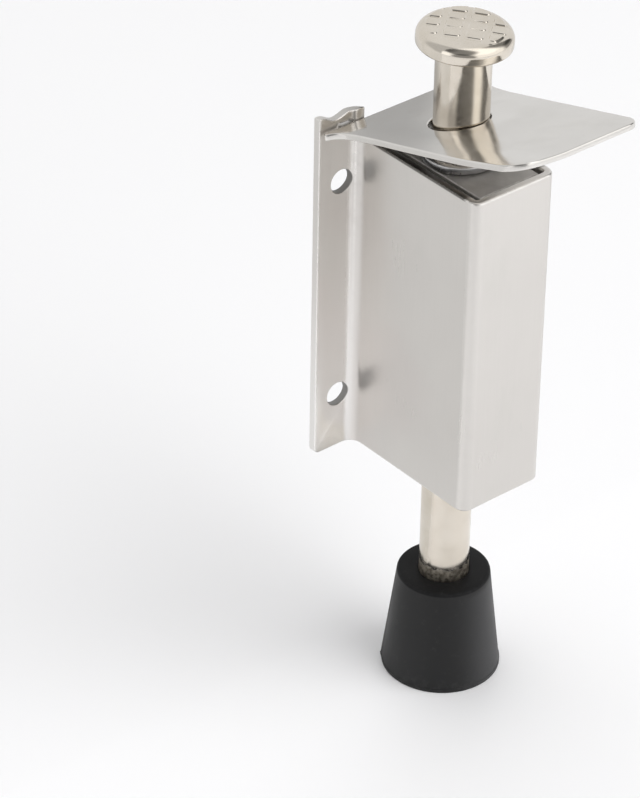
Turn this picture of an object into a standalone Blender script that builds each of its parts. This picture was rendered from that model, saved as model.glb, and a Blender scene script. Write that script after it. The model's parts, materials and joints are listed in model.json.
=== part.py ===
"""Door-mounted, foot-operated floor door holder.

A folded sheet housing is screwed to the door.  A plunger with a rubber foot
slides through it.  Treading on the knob pushes the foot to the floor, and a
tilted pedal plate grips the knob's shank and keeps it there.  Treading on the
pedal levels the plate, and the return spring lifts the foot again.

Frame: origin at the centre of the foot's sole, +Z up along the plunger,
+Y towards the door, +X along the door's width.  Shown locked on the floor.
"""
import math

import bmesh
import bpy
from mathutils import Matrix, Vector

MM = 0.001
GAP = 0.3 * MM                      # between pieces that rest on each other
ROUND = 48                          # segments of a full turn

# Housing: one folded sheet, hat-shaped in plan
SHEET = 2.0 * MM
DOOR_Y = 23.0 * MM                  # plane of the door
FRONT_Y = -19.0 * MM                # outer face of the front wall
HALF_WIDTH = 12.0 * MM              # outer face of a side wall
FLANGE_HALF_WIDTH = 23.5 * MM
FRONT_BEND = 2.6 * MM               # outer radius of the front folds
FLANGE_BEND = 3.0 * MM              # radius of the hollow side of the flange folds
HOUSING_BOTTOM_Z = 58.8 * MM
HOUSING_TOP_Z = 142.0 * MM
EAR_TIP_Z = 149.5 * MM              # outer corner of an ear
EAR_HOLLOW = (18.6 * MM, 147.9 * MM)
EAR_CREST = (14.5 * MM, 148.85 * MM)
EAR_FRONT_Y = DOOR_Y - 2.5 * MM     # an ear stops where its fold begins to turn
SCREW_HOLE_R = 3.0 * MM
SCREW_HOLE_X = 16.75 * MM
SCREW_HOLE_Z = (73.3 * MM, 131.3 * MM)

# Plunger
ROD_R = 6.0 * MM
SHANK_R = 6.4 * MM
STUD_R = 3.0 * MM
STUD_LENGTH = 12.0 * MM
ROD_TOP_Z = 104.0 * MM
HEAD_R = 11.0 * MM
HEAD_UNDER_Z = 170.1 * MM
HEAD_SIDE_Z = 172.1 * MM            # upper end of the head's upright side
SHOULDER_R = 8.3 * MM               # the rounded shoulder runs from here to the side
SHOULDER_RISE = 2.45 * MM
HEAD_CROWN = 0.35 * MM
RUNNING = 0.3 * MM                  # clearance of a bush round the plunger

# Rubber foot
FOOT_HEIGHT = 27.2 * MM
FOOT_TOP_R = 11.2 * MM
FOOT_SOLE_R = 14.4 * MM
SOCKET_FLOOR_Z = 5.0 * MM
FOOT_WASHER_T = 1.0 * MM

# Guides
GUIDE_T = 2.0 * MM
UPPER_GUIDE_Z = 139.6 * MM          # underside
UPPER_GUIDE_HALF_WIDTH = 8.7 * MM
LOWER_GUIDE_Z = 61.0 * MM           # underside
LOWER_GUIDE_HALF_WIDTH = 9.6 * MM
GUIDE_BACK_Y = 20.0 * MM
GUIDE_LIP = 9.0 * MM
BUSH_FLANGE_R = 9.0 * MM
UPPER_BUSH_R = 7.5 * MM
UPPER_BUSH_FLANGE_T = 1.7 * MM
LOWER_BUSH_R = 7.6 * MM
LOWER_BUSH_FLANGE_T = 1.2 * MM

# Return spring and what it pushes on
SEAT_Z = 98.0 * MM
SEAT_T = 1.2 * MM
SEAT_R = 9.3 * MM
PIN_R = 1.25 * MM
PIN_WALL = 0.45 * MM
PIN_HALF_LENGTH = 8.6 * MM
RETURN_WIRE_R = 0.6 * MM
RETURN_COIL_R = 7.9 * MM
RETURN_TURNS = 9.0

# Pedal: a thin plate on two lugs, bent slightly upwards in front of the knob
PEDAL_T = 1.5 * MM
PIVOT = Vector((0.0, 22.0 * MM, 145.15 * MM))
REAR_TILT = math.radians(12.8)
FRONT_TILT = math.radians(15.8)
BEND_START = 11.0 * MM              # distances along the plate from its pivot
BEND_END = 23.0 * MM
PEDAL_REAR = 2.0 * MM
PEDAL_LENGTH = 62.5 * MM
PEDAL_REAR_HALF_WIDTH = 23.4 * MM
PEDAL_HALF_WIDTH = 18.3 * MM
PEDAL_CORNER_R = 4.2 * MM
FLARE_END = 18.5 * MM
HOLE_AT = 22.48 * MM
HOLE_R = 7.0 * MM
LUG_X = 15.85 * MM
LUG_WIDTH = 3.1 * MM
LUG_END = -0.6 * MM
SLOT_WIDTH = 4.15 * MM
SLOT_HEIGHT = 2.7 * MM
PEDAL_WIRE_R = 0.45 * MM
PEDAL_COIL_R = (8.3 * MM, 7.45 * MM)
PEDAL_TURNS = 2.5


def clear_scene():
    for obj in list(bpy.data.objects):
        bpy.data.objects.remove(obj, do_unlink=True)


def new_collection(name):
    collection = bpy.data.collections.new(name)
    bpy.context.scene.collection.children.link(collection)
    return collection


def make_material(name, colour, metallic, roughness):
    material = bpy.data.materials.new(name)
    material.use_nodes = True
    shader = material.node_tree.nodes["Principled BSDF"]
    shader.inputs["Base Color"].default_value = (*colour, 1.0)
    shader.inputs["Metallic"].default_value = metallic
    shader.inputs["Roughness"].default_value = roughness
    return material


clear_scene()
PARTS = new_collection("floor_door_holder")
CUTTERS = new_collection("cutters")


def add_object(name, data, material, location=(0.0, 0.0, 0.0)):
    obj = bpy.data.objects.new(name, data)
    obj.location = location
    obj.data.materials.append(material)
    PARTS.objects.link(obj)
    return obj


def smooth(obj, angle=math.radians(35.0)):
    obj.data.shade_smooth()
    obj.data.set_sharp_from_angle(angle=angle)


def mesh_from(name, builder):
    """Make a mesh from what builder adds to an empty bmesh."""
    bm = bmesh.new()
    builder(bm)
    mesh = bpy.data.meshes.new(name)
    bm.to_mesh(mesh)
    bm.free()
    return mesh


def add_cutter(name, mesh):
    obj = bpy.data.objects.new(name, mesh)
    obj.hide_render = True
    obj.display_type = "WIRE"
    CUTTERS.objects.link(obj)
    return obj


def box_cutter(name, low, high):
    low = Vector(low)
    high = Vector(high)

    def build(bm):
        size = Matrix.Diagonal((*(high - low), 1.0))
        bmesh.ops.create_cube(bm, size=1.0, matrix=Matrix.Translation((low + high) / 2) @ size)

    return add_cutter(name, mesh_from(name, build))


def rod_cutter(name, centre, axis, radius, length):
    turn = Vector((0.0, 0.0, 1.0)).rotation_difference(Vector(axis)).to_matrix().to_4x4()

    def build(bm):
        bmesh.ops.create_cone(
            bm, cap_ends=True, segments=ROUND, radius1=radius, radius2=radius,
            depth=length, matrix=Matrix.Translation(centre) @ turn)

    return add_cutter(name, mesh_from(name, build))


def cut(obj, cutter):
    modifier = obj.modifiers.new("cut_" + cutter.name, "BOOLEAN")
    modifier.operation = "DIFFERENCE"
    modifier.solver = "EXACT"
    modifier.object = cutter


def arc(centre, radius, start_deg, end_deg, steps):
    """Points of an arc in a plane, from one angle to another."""
    points = []
    for i in range(steps + 1):
        angle = math.radians(start_deg + (end_deg - start_deg) * i / steps)
        points.append((centre[0] + radius * math.cos(angle), centre[1] + radius * math.sin(angle)))
    return points


def turned(name, profile, material, segments=ROUND):
    """Turn an (r, z) profile about Z; it runs down the outer side."""
    def build(bm):
        verts = [bm.verts.new((r, 0.0, z)) for r, z in profile]
        for a, b in zip(verts, verts[1:]):
            bm.edges.new((a, b))
        if profile[0][0] > 0.0 and profile[-1][0] > 0.0:
            bm.edges.new((verts[-1], verts[0]))

    obj = add_object(name, mesh_from(name, build), material)
    screw = obj.modifiers.new("turn", "SCREW")
    screw.axis = "Z"
    screw.angle = math.tau
    screw.steps = segments
    screw.render_steps = segments
    screw.use_merge_vertices = True
    screw.merge_threshold = 0.00001
    smooth(obj)
    return obj


def washer_profile(inner, outer, low, high, edge=0.15 * MM):
    """A flat ring with its corners broken by a small chamfer."""
    return [
        (inner, high), (outer - edge, high), (outer, high - edge), (outer, low + edge),
        (outer - edge, low), (inner, low)]


def folded_sheet(name, path, extent, axis, thickness, material, grow_left=True, corners=()):
    """Extrude a folded path along Z or X into a surface and give it its thickness.

    The thickness grows to the left of the path's direction, or else to its right.
    """
    low, high = extent

    def build(bm):
        if axis == "Z":
            row = [bm.verts.new((u, v, low)) for u, v in path]
            shift = Vector((0.0, 0.0, high - low))
        else:
            row = [bm.verts.new((low, u, v)) for u, v in path]
            shift = Vector((high - low, 0.0, 0.0))
        edges = [bm.edges.new(pair) for pair in zip(row, row[1:])]
        grown = bmesh.ops.extrude_edge_only(bm, edges=edges)["geom"]
        moved = [item for item in grown if isinstance(item, bmesh.types.BMVert)]
        bmesh.ops.translate(bm, verts=moved, vec=shift)
        for corner, radius in corners:
            nearest = min(bm.verts, key=lambda vert: (vert.co - Vector(corner)).length)
            bmesh.ops.bevel(bm, geom=[nearest], offset=radius, segments=4, profile=0.5, affect="VERTICES")

    obj = add_object(name, mesh_from(name, build), material)
    solid = obj.modifiers.new("thickness", "SOLIDIFY")
    solid.thickness = thickness
    solid.offset = 1.0 if grow_left else -1.0
    solid.use_even_offset = True
    smooth(obj)
    return obj


def wire(name, points, radius, material):
    """A round wire through the given points, with flat ends."""
    curve = bpy.data.curves.new(name, "CURVE")
    curve.dimensions = "3D"
    curve.bevel_depth = radius
    curve.bevel_resolution = 2
    curve.use_fill_caps = True
    spline = curve.splines.new("POLY")
    spline.points.add(len(points) - 1)
    for point, place in zip(spline.points, points):
        point.co = (*place, 1.0)
    return add_object(name, curve, material)


# ---------------------------------------------------------------- housing

def add_body_channel(material):
    flange_y = DOOR_Y - SHEET
    fold_x = HALF_WIDTH + FLANGE_BEND
    front_x = HALF_WIDTH - FRONT_BEND
    left = [(-FLANGE_HALF_WIDTH, flange_y)]
    left += arc((-fold_x, flange_y - FLANGE_BEND), FLANGE_BEND, 90.0, 0.0, 6)
    left += arc((-front_x, FRONT_Y + FRONT_BEND), FRONT_BEND, 180.0, 270.0, 6)
    right = [(-x, y) for x, y in reversed(left)]
    corners = []
    for x in (-FLANGE_HALF_WIDTH, FLANGE_HALF_WIDTH):
        corners.append(((x, flange_y, HOUSING_BOTTOM_Z), 1.6 * MM))
    body = folded_sheet(
        "body_channel", left + right, (HOUSING_BOTTOM_Z, EAR_TIP_Z), "Z", SHEET, material,
        corners=corners)

    past = 5.0 * MM
    cut(body, box_cutter(
        "above_walls", (-FLANGE_HALF_WIDTH - past, FRONT_Y - past, HOUSING_TOP_Z),
        (FLANGE_HALF_WIDTH + past, EAR_FRONT_Y, EAR_TIP_Z + past)))
    for side in (-1.0, 1.0):
        cut(body, ear_top_cutter(side))
        slot_low = (side * LUG_X - SLOT_WIDTH / 2, EAR_FRONT_Y - past, PIVOT.z - SLOT_HEIGHT / 2)
        slot_high = (side * LUG_X + SLOT_WIDTH / 2, DOOR_Y + past, PIVOT.z + SLOT_HEIGHT / 2)
        cut(body, box_cutter("lug_slot_%+d" % side, slot_low, slot_high))
        for z in SCREW_HOLE_Z:
            centre = (side * SCREW_HOLE_X, DOOR_Y, z)
            cut(body, rod_cutter(
                "screw_hole_%+d_%d" % (side, round(z / MM)), centre, (0.0, 1.0, 0.0), SCREW_HOLE_R, 4 * SHEET))
    return body


def ear_top_cutter(side):
    """Trim an ear to its top: high at the outer corner, a hollow, then a level crest."""
    past = 5.0 * MM
    corner = (FLANGE_HALF_WIDTH - 0.8 * MM, EAR_TIP_Z)
    outline = [
        (FLANGE_HALF_WIDTH + past, EAR_TIP_Z + 2 * past),
        (FLANGE_HALF_WIDTH + past, EAR_TIP_Z)]
    for start, end in ((corner, EAR_HOLLOW), (EAR_HOLLOW, EAR_CREST)):
        steps = 4
        for i in range(steps):
            t = i / steps
            ease = t * t * (3.0 - 2.0 * t)
            outline.append((start[0] + (end[0] - start[0]) * t, start[1] + (end[1] - start[1]) * ease))
    outline += [EAR_CREST, (0.0, EAR_CREST[1]), (0.0, EAR_TIP_Z + 2 * past)]

    def build(bm):
        near = EAR_FRONT_Y - past
        face = bm.faces.new([bm.verts.new((side * x, near, z)) for x, z in outline])
        grown = bmesh.ops.extrude_face_region(bm, geom=[face])["geom"]
        moved = [item for item in grown if isinstance(item, bmesh.types.BMVert)]
        bmesh.ops.translate(bm, verts=moved, vec=(0.0, DOOR_Y + past - near, 0.0))
        bmesh.ops.recalc_face_normals(bm, faces=bm.faces)

    return add_cutter("ear_top_%+d" % side, mesh_from("ear_top", build))


def add_guide(name, underside, half_width, lip, hole_radius, material):
    """A level plate welded to the front wall, stiffened by a lip on the door side."""
    bend = 2.5 * MM
    top = underside + GUIDE_T
    front = FRONT_Y + SHEET + GAP
    if lip < 0.0:
        path = [(front, top)]
        path += arc((GUIDE_BACK_Y - bend, top - bend), bend, 90.0, 0.0, 5)
        path.append((GUIDE_BACK_Y, top + lip))
    else:
        path = [(front, underside)]
        path += arc((GUIDE_BACK_Y - bend, underside + bend), bend, -90.0, 0.0, 5)
        path.append((GUIDE_BACK_Y, underside + lip))
    plate = folded_sheet(
        name, path, (-half_width, half_width), "X", GUIDE_T, material, grow_left=lip > 0.0)
    cut(plate, rod_cutter(name + "_hole", (0.0, 0.0, underside), (0.0, 0.0, 1.0), hole_radius, 6 * GUIDE_T))
    return plate


def add_guides(material):
    add_guide(
        "upper_guide_plate", UPPER_GUIDE_Z, UPPER_GUIDE_HALF_WIDTH, -GUIDE_LIP, UPPER_BUSH_R + GAP, material)
    add_guide(
        "lower_guide_plate", LOWER_GUIDE_Z, LOWER_GUIDE_HALF_WIDTH, GUIDE_LIP, LOWER_BUSH_R + GAP, material)


def bush_profile(inner, outer, flange_r, low, shoulder, high):
    """A sleeve with a flange at its upper end."""
    edge = 0.3 * MM
    return [
        (inner + edge, high), (flange_r - edge, high), (flange_r, high - edge), (flange_r, shoulder),
        (outer, shoulder), (outer, low + edge), (outer - edge, low), (inner, low), (inner, high - edge)]


def add_bushes(metal, nylon):
    shoulder = UPPER_GUIDE_Z + GUIDE_T + GAP
    turned("upper_guide_bush", bush_profile(
        SHANK_R + RUNNING, UPPER_BUSH_R, BUSH_FLANGE_R,
        UPPER_GUIDE_Z - 2.0 * MM, shoulder, shoulder + UPPER_BUSH_FLANGE_T), metal)
    shoulder = LOWER_GUIDE_Z + GUIDE_T + GAP
    turned("lower_guide_bush", bush_profile(
        ROD_R + RUNNING, LOWER_BUSH_R, BUSH_FLANGE_R,
        LOWER_GUIDE_Z - 1.2 * MM, shoulder, shoulder + LOWER_BUSH_FLANGE_T), nylon)


# ---------------------------------------------------------------- plunger

def add_plunger(nickel):
    edge = 0.5 * MM
    low = SOCKET_FLOOR_Z + FOOT_WASHER_T + 2 * GAP
    rod = turned("plunger_rod", [
        (0.0, ROD_TOP_Z + STUD_LENGTH), (STUD_R - edge, ROD_TOP_Z + STUD_LENGTH),
        (STUD_R, ROD_TOP_Z + STUD_LENGTH - edge), (STUD_R, ROD_TOP_Z), (ROD_R - edge, ROD_TOP_Z),
        (ROD_R, ROD_TOP_Z - edge), (ROD_R, low + edge), (ROD_R - edge, low), (0.0, low)], nickel)
    pin_z = SEAT_Z + SEAT_T + GAP + PIN_R
    cut(rod, rod_cutter("pin_hole", (0.0, 0.0, pin_z), (1.0, 0.0, 0.0), PIN_R + GAP, 4 * ROD_R))

    shank_low = ROD_TOP_Z + GAP
    bore_r = STUD_R + GAP
    bore_top = ROD_TOP_Z + STUD_LENGTH + GAP
    shoulder_z = HEAD_SIDE_Z + SHOULDER_RISE
    head = [(0.0, shoulder_z + HEAD_CROWN)]
    crown_steps = 6
    for i in range(1, crown_steps):
        share = i / crown_steps
        head.append((share * SHOULDER_R, shoulder_z + HEAD_CROWN * (1.0 - share * share) ** 2))
    shoulder_steps = 7
    for i in range(shoulder_steps + 1):
        turn = math.radians(90.0) * (1.0 - i / shoulder_steps)
        head.append((
            SHOULDER_R + (HEAD_R - SHOULDER_R) * math.cos(turn),
            HEAD_SIDE_Z + SHOULDER_RISE * math.sin(turn)))
    head += arc((HEAD_R - 0.8 * MM, HEAD_UNDER_Z + 0.8 * MM), 0.8 * MM, 0.0, -90.0, 3)
    fillet = 0.8 * MM
    head += arc((SHANK_R + fillet, HEAD_UNDER_Z - fillet), fillet, 90.0, 180.0, 3)
    turned("push_knob", head + [
        (SHANK_R, shank_low + edge), (SHANK_R - edge, shank_low), (bore_r, shank_low),
        (bore_r, bore_top), (0.0, bore_top + bore_r * 0.5)], nickel)


def add_spring_seat(steel):
    turned("spring_seat_washer", washer_profile(ROD_R + GAP, SEAT_R, SEAT_Z, SEAT_Z + SEAT_T), steel)


def add_spring_pin(steel):
    """A slotted roll pin across the rod: a nearly closed tube of thin sheet."""
    pin_z = SEAT_Z + SEAT_T + GAP + PIN_R
    ring = arc((0.0, pin_z), PIN_R, 110.0, 430.0, 20)
    folded_sheet("spring_pin", ring, (-PIN_HALF_LENGTH, PIN_HALF_LENGTH), "X", PIN_WALL, steel)


def add_foot(rubber, steel):
    edge = 0.6 * MM
    socket_r = ROD_R + GAP
    lip = 0.9 * MM
    groove = 0.8 * MM
    profile = [(0.0, SOCKET_FLOOR_Z), (socket_r, SOCKET_FLOOR_Z), (socket_r, FOOT_HEIGHT)]
    profile += arc((FOOT_TOP_R - edge, FOOT_HEIGHT - edge), edge, 90.0, 0.0, 3)
    profile += [(FOOT_SOLE_R - 0.2 * MM, lip + 0.2 * MM), (FOOT_SOLE_R, lip), (FOOT_SOLE_R, 0.2 * MM)]
    profile.append((FOOT_SOLE_R - 0.2 * MM, 0.0))
    for outer in (12.0 * MM, 8.0 * MM):
        inner = outer - 1.5 * MM
        profile += [(outer, 0.0), (outer, groove), (inner, groove), (inner, 0.0)]
    profile.append((0.0, 0.0))
    turned("rubber_foot", profile, rubber)
    low = SOCKET_FLOOR_Z + GAP
    turned("foot_washer", washer_profile(2.2 * MM, ROD_R - 0.1 * MM, low, low + FOOT_WASHER_T), steel)


# ---------------------------------------------------------------- springs

def add_return_spring(steel):
    low = LOWER_GUIDE_Z + GUIDE_T + GAP + LOWER_BUSH_FLANGE_T + GAP + RETURN_WIRE_R
    high = SEAT_Z - GAP - RETURN_WIRE_R
    pitch_free = 2.2 * RETURN_WIRE_R
    points = []
    per_turn = 16
    count = round(RETURN_TURNS * per_turn)
    for i in range(count + 1):
        turn = RETURN_TURNS * i / count
        points.append((
            RETURN_COIL_R * math.cos(math.tau * turn), RETURN_COIL_R * math.sin(math.tau * turn),
            low + coil_height(turn, RETURN_TURNS, pitch_free, high - low)))
    wire("return_spring", points, RETURN_WIRE_R, steel)


def coil_height(turn, turns, close_pitch, height):
    """Height along a spring with one close coil at each end."""
    open_pitch = (height - 2.0 * close_pitch) / (turns - 2.0)
    if turn < 1.0:
        return turn * close_pitch
    if turn > turns - 1.0:
        return height - (turns - turn) * close_pitch
    return close_pitch + (turn - 1.0) * open_pitch


def add_pedal_spring(steel):
    """A short conical spring; its upper coil leans with the plate above it."""
    low = UPPER_GUIDE_Z + GUIDE_T + GAP + UPPER_BUSH_FLANGE_T + GAP + PEDAL_WIRE_R
    per_turn = 20
    count = round(PEDAL_TURNS * per_turn)
    points = []
    for i in range(count + 1):
        share = i / count
        angle = math.tau * PEDAL_TURNS * share
        radius = PEDAL_COIL_R[0] + (PEDAL_COIL_R[1] - PEDAL_COIL_R[0]) * share
        x = radius * math.cos(angle)
        y = radius * math.sin(angle)
        under = plate_point(x, HOLE_AT - y, -PEDAL_T / 2 - GAP - PEDAL_WIRE_R)
        rise = min(1.0, max(0.0, (share - 0.2) / 0.45))
        points.append((x, y, low + rise * (under.z - low)))
    wire("pedal_spring", points, PEDAL_WIRE_R, steel)


# ---------------------------------------------------------------- pedal

def plate_point(x, along, out):
    """World point of the pedal: x, distance from the pivot, height off its middle surface."""
    local = bent_point(x, along, out)
    return PIVOT + local


def bent_point(x, along, out):
    """The same point relative to the pivot, on a plate that turns steeper from its bend on."""
    y = 0.0
    z = 0.0
    tilt = REAR_TILT
    straight = min(along, BEND_START)
    y -= straight * math.cos(tilt)
    z += straight * math.sin(tilt)
    if along > BEND_START:
        radius = (BEND_END - BEND_START) / (FRONT_TILT - REAR_TILT)
        tilt = REAR_TILT + (min(along, BEND_END) - BEND_START) / radius
        y -= radius * (math.sin(tilt) - math.sin(REAR_TILT))
        z += radius * (math.cos(REAR_TILT) - math.cos(tilt))
    if along > BEND_END:
        y -= (along - BEND_END) * math.cos(FRONT_TILT)
        z += (along - BEND_END) * math.sin(FRONT_TILT)
    return Vector((x, y + out * math.sin(tilt), z + out * math.cos(tilt)))


def flare_points(steps=8):
    """The hollow curve from the wide rear edge to the straight sides, as (half width, along)."""
    start = Vector((PEDAL_REAR_HALF_WIDTH, PEDAL_REAR + 1.0 * MM))
    pull = Vector((PEDAL_HALF_WIDTH + 0.3 * MM, PEDAL_REAR + 2.8 * MM))
    end = Vector((PEDAL_HALF_WIDTH, FLARE_END))
    points = []
    for i in range(steps + 1):
        t = i / steps
        points.append(start * (1 - t) ** 2 + pull * 2 * t * (1 - t) + end * t ** 2)
    return points


def pedal_half_outline():
    """Outline of the flat plate on the +X side, from its front middle to its rear middle."""
    corner = (PEDAL_HALF_WIDTH - PEDAL_CORNER_R, PEDAL_LENGTH - PEDAL_CORNER_R)
    points = [(0.0, PEDAL_LENGTH)]
    points += arc(corner, PEDAL_CORNER_R, 90.0, 0.0, 8)
    points += [tuple(p) for p in reversed(flare_points())]
    points.append((PEDAL_REAR_HALF_WIDTH - 0.6 * MM, PEDAL_REAR))
    for x, along in ((1, PEDAL_REAR), (1, LUG_END), (-1, LUG_END), (-1, PEDAL_REAR)):
        points.append((LUG_X + x * LUG_WIDTH / 2, along))
    points.append((0.0, PEDAL_REAR))
    return points


def add_pedal_plate(material):
    """Cut flat, then bent: the flat outline is divided along its length first."""
    half = pedal_half_outline()
    outline = half + [(-x, along) for x, along in reversed(half[1:-1])]

    curve = bpy.data.curves.new("pedal_outline", "CURVE")
    curve.dimensions = "2D"
    curve.fill_mode = "BOTH"
    curve.extrude = PEDAL_T / 2
    hole = arc((0.0, HOLE_AT), HOLE_R, 0.0, 360.0, ROUND)[:-1]
    for loop in (outline, hole):
        spline = curve.splines.new("POLY")
        spline.points.add(len(loop) - 1)
        for point, (x, along) in zip(spline.points, loop):
            point.co = (x, -along, 0.0, 1.0)
        spline.use_cyclic_u = True
    flat = bpy.data.objects.new("pedal_outline", curve)
    CUTTERS.objects.link(flat)
    bpy.context.view_layer.update()
    depsgraph = bpy.context.evaluated_depsgraph_get()
    mesh = bpy.data.meshes.new_from_object(flat.evaluated_get(depsgraph))
    bpy.data.objects.remove(flat, do_unlink=True)

    bm = bmesh.new()
    bm.from_mesh(mesh)
    bmesh.ops.remove_doubles(bm, verts=bm.verts, dist=0.00001)
    bend_steps = 8
    for i in range(bend_steps + 1):
        along = BEND_START + (BEND_END - BEND_START) * i / bend_steps
        bmesh.ops.bisect_plane(
            bm, geom=bm.verts[:] + bm.edges[:] + bm.faces[:], plane_co=(0.0, -along, 0.0),
            plane_no=(0.0, 1.0, 0.0), dist=0.000001)
    for vert in bm.verts:
        vert.co = bent_point(vert.co.x, -vert.co.y, vert.co.z)
    bmesh.ops.recalc_face_normals(bm, faces=bm.faces)
    bm.to_mesh(mesh)
    bm.free()
    pedal = add_object("pedal_plate", mesh, material, PIVOT)
    smooth(pedal)
    return pedal


def main():
    brushed = make_material("brushed_stainless", (0.62, 0.61, 0.59), 1.0, 0.38)
    polished = make_material("polished_stainless", (0.66, 0.65, 0.63), 1.0, 0.22)
    nickel = make_material("nickel_plate", (0.66, 0.61, 0.55), 1.0, 0.16)
    steel = make_material("spring_steel", (0.42, 0.42, 0.43), 1.0, 0.35)
    nylon = make_material("white_nylon", (0.80, 0.80, 0.77), 0.0, 0.5)
    rubber = make_material("black_rubber", (0.02, 0.02, 0.022), 0.0, 0.6)

    add_body_channel(brushed)
    add_guides(brushed)
    add_bushes(steel, nylon)
    add_plunger(nickel)
    add_spring_seat(steel)
    add_spring_pin(steel)
    add_foot(rubber, steel)
    add_return_spring(steel)
    add_pedal_plate(polished)
    add_pedal_spring(steel)


main()
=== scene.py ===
import json
import math

import bmesh
import bpy
from mathutils import Matrix, Vector
from mathutils.geometry import delaunay_2d_cdt

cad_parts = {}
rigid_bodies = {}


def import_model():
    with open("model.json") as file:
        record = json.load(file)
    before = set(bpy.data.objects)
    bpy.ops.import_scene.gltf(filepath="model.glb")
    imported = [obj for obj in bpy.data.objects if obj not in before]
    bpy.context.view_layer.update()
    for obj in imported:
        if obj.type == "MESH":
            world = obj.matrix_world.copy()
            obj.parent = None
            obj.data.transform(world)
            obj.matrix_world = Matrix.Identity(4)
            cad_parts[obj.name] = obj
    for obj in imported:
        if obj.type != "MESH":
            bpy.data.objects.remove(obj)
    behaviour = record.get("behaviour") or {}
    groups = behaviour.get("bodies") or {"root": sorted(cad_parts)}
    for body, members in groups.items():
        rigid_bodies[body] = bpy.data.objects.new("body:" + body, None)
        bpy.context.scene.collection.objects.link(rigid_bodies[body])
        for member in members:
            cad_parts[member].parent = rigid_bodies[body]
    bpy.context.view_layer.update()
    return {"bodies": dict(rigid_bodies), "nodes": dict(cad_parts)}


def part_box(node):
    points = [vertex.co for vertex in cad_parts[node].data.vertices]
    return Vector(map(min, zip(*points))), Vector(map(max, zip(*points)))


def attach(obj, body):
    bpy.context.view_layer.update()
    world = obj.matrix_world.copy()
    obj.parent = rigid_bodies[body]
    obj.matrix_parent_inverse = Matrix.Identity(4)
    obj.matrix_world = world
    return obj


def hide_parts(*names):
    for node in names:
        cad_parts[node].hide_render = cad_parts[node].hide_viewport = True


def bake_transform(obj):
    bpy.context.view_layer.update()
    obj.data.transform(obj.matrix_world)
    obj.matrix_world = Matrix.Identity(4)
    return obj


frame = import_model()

MM = 0.001
TURN = 128                       # segments of a full turn
NARROW = 0.7 * MM                # faces narrower than this can show rubbed edges
SHARP_ANGLE = math.radians(38.0)  # edges that turn more than this are shaded as sharp

# Sizes that the finer pieces share with the CAD nodes
SHEET = 2.0 * MM
EDGE = 0.28 * MM                 # rounding left on a sheet's cut edges by deburring
FRONT_EDGE = 0.62 * MM           # the same on the front wall, where it is rounder
DOOR_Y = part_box("body_channel")[1].y
FRONT_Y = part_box("body_channel")[0].y
HOUSING_BOTTOM_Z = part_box("body_channel")[0].z
EAR_TIP_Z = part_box("body_channel")[1].z
FLANGE_HALF_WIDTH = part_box("body_channel")[1].x
HALF_WIDTH = 12.0 * MM
FRONT_BEND = 2.6 * MM
FLANGE_BEND = 3.0 * MM
HOUSING_TOP_Z = 142.0 * MM
EAR_FRONT_Y = DOOR_Y - 2.5 * MM
SCREW_HOLE_R = 3.0 * MM
SCREW_HOLE_X = 16.75 * MM
SCREW_HOLE_Z = (73.3 * MM, 131.3 * MM)
SHEET_CORNER_R = 1.6 * MM        # lower corners of the flanges

PEDAL_T = 1.5 * MM
PIVOT = Vector((0.0, 22.0 * MM, 145.15 * MM))
REAR_TILT = math.radians(12.8)
FRONT_TILT = math.radians(15.8)
BEND_START = 11.0 * MM
BEND_END = 23.0 * MM
PEDAL_REAR = 2.0 * MM
PEDAL_LENGTH = 62.5 * MM
PEDAL_REAR_HALF_WIDTH = 23.4 * MM
PEDAL_HALF_WIDTH = 18.3 * MM
PEDAL_CORNER_R = 4.2 * MM
SOFT_CORNER_R = 6.6 * MM         # its front left corner, rounder than the other
CORNER_LIFT = 0.9 * MM           # and bent up a little
FLARE_END = 18.5 * MM
HOLE_AT = 22.48 * MM
HOLE_R = 7.15 * MM               # a little wider than the CAD's, to clear the shank off centre
HOLE_X = -0.28 * MM              # the plate sits a little to one side of the shank
LUG_X = 15.85 * MM
LUG_WIDTH = 3.1 * MM
LUG_END = -0.6 * MM
SLOT_WIDTH = 4.15 * MM
SLOT_HEIGHT = 2.7 * MM

SHANK_R = 6.4 * MM
HEAD_UNDER_Z = 170.1 * MM
ROD_TOP_Z = 104.0 * MM
STUD_R = 3.0 * MM
FOOT_TOP_R = 11.2 * MM
FOOT_TOP_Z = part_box("rubber_foot")[1].z

# The knob's tread: raised pads in rows, on a head that sits a little askew on its shank
PAD_TURN = math.radians(-49.6)
PAD_PITCH = (5.1 * MM, 3.85 * MM)
PAD_HALF = (1.75 * MM, 1.35 * MM)
PAD_RISE = 0.30 * MM
PAD_SLOPE = 0.30 * MM
HEAD_LEAN = math.radians(2.6)

# The main view: the holder from its left, in front and above
VIEW_AZIMUTH = -40.13
VIEW_ELEVATION = 34.15
VIEW_ROLL = 0.98
VIEW_DISTANCE = 0.86
VIEW_AIM = Vector((-0.04999, -0.01220, 0.10347))


# ---------------------------------------------------------------- mesh tools

def link_object(name, data):
    obj = bpy.data.objects.new(name, data)
    bpy.context.scene.collection.objects.link(obj)
    return obj


def built(name, builder):
    """A new object with the mesh that builder adds to an empty bmesh."""
    bm = bmesh.new()
    builder(bm)
    mesh = bpy.data.meshes.new(name)
    bm.to_mesh(mesh)
    bm.free()
    return link_object(name, mesh)


def arc(centre, radius, start_deg, end_deg, steps):
    points = []
    for i in range(steps + 1):
        angle = math.radians(start_deg + (end_deg - start_deg) * i / steps)
        points.append((centre[0] + radius * math.cos(angle), centre[1] + radius * math.sin(angle)))
    return points


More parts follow.
